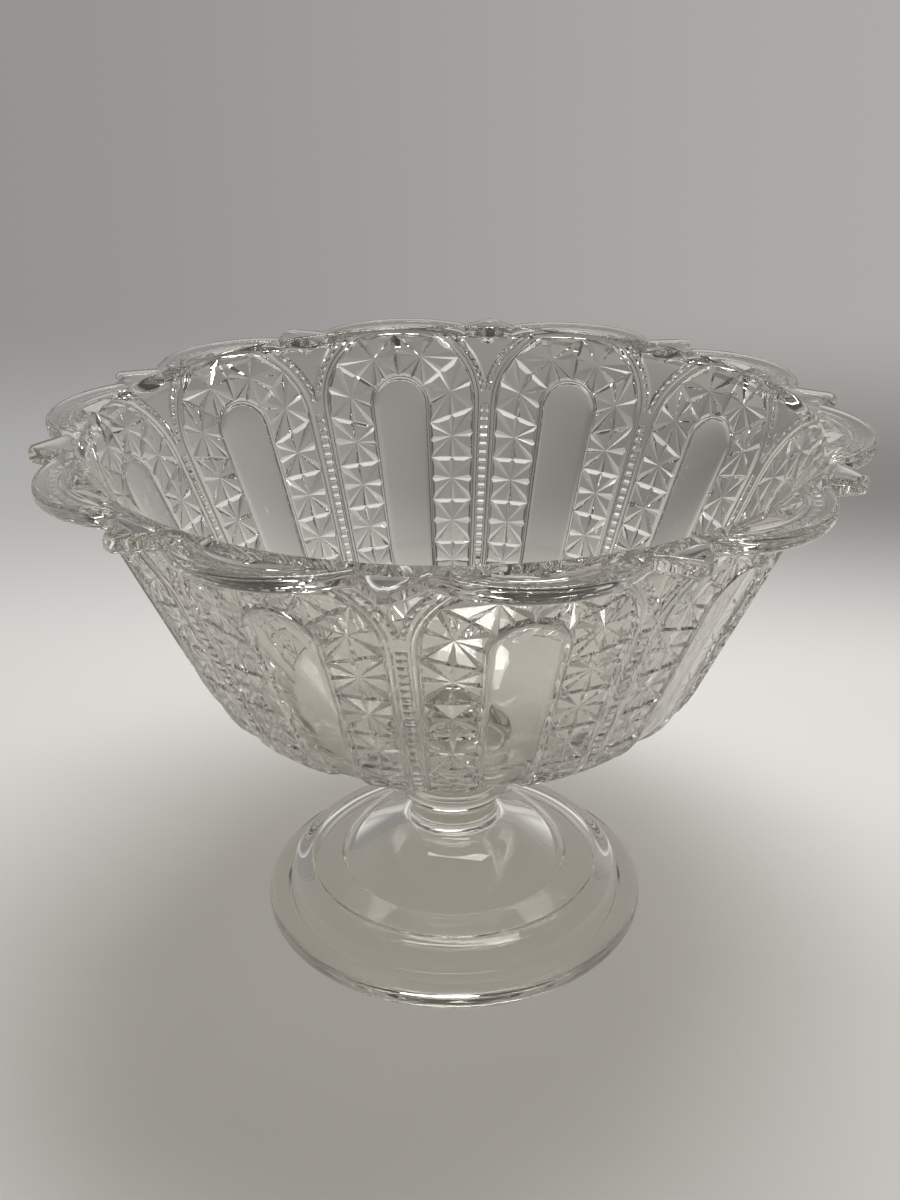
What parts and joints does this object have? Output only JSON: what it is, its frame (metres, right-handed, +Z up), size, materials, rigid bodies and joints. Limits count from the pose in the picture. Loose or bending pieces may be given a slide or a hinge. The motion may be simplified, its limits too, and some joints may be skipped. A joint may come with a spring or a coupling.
{
  "type": "footed glass serving bowl",
  "caption": "Footed serving bowl of clear pressed glass with a scalloped rim, arched panels, bands of cut stars and a hollow pedestal foot.",
  "frame": {"origin": "on the table, under the middle of the foot", "axes": "+Z up along the axis of the stem, and the middle of one scallop faces -Y"},
  "size_m": [0.222, 0.225, 0.155],
  "materials": {
    "clear_glass": "fire-polished, clear with a faint warm grey where it is thick"
  },
  "bodies": {
    "root": {"bowl": "clear_glass", "knop": "clear_glass", "foot": "clear_glass"}
  },
  "joints": []
}
